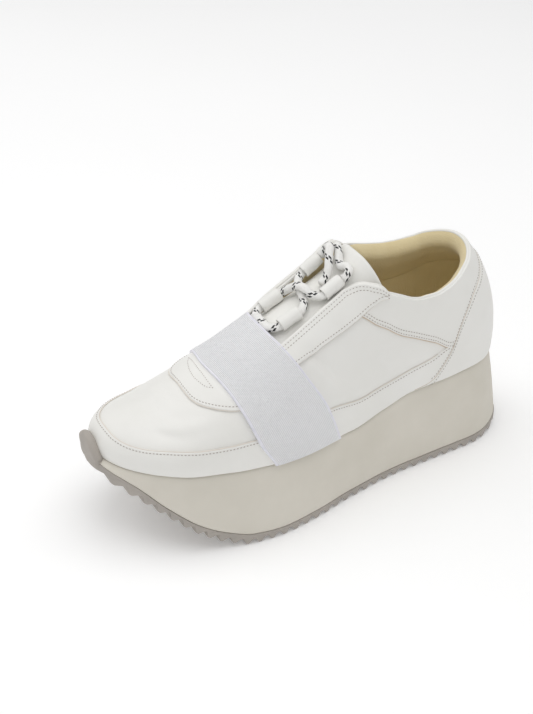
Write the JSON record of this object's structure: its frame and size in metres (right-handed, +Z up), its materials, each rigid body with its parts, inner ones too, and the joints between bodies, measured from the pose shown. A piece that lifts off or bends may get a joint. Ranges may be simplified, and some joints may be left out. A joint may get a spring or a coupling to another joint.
{
  "type": "platform sneaker",
  "caption": "Left platform sneaker: hollow upper under a wide elastic band, lace loops on a padded tongue, thick foam sole with a rippled rubber outsole and toe bumper.",
  "frame": {"origin": "on the ground, at the middle of the shoe's length and width", "axes": "+Z up, +Y towards the heel, -Y towards the toe, +X towards the outer (lateral) side of the left foot"},
  "size_m": [0.0981, 0.2738, 0.1433],
  "materials": {
    "outsole_rubber": "matte, moulded",
    "midsole_foam": "matte, fine moulded grain",
    "insole_fabric": "matte textile",
    "upper_leather": "smooth, low sheen",
    "tongue_leather": "smooth, low sheen",
    "trim_leather": "smooth, low sheen",
    "elastic_webbing": "ribbed knitted elastic",
    "lace_cord": "round braided cord with dark flecks"
  },
  "bodies": {
    "root": {"outsole": "outsole_rubber", "midsole": "midsole_foam", "insole": "insole_fabric", "upper": "upper_leather", "tongue": "tongue_leather", "elastic_band": "elastic_webbing", "facing_lateral": "trim_leather", "facing_medial": "trim_leather", "lace_loop_lower_lateral": "trim_leather", "lace_loop_lower_medial": "trim_leather", "lace_loop_upper_lateral": "trim_leather", "lace_loop_upper_medial": "trim_leather", "lace_crossing": "lace_cord", "lace_end_lateral": "lace_cord", "lace_end_medial": "lace_cord"}
  },
  "joints": []
}
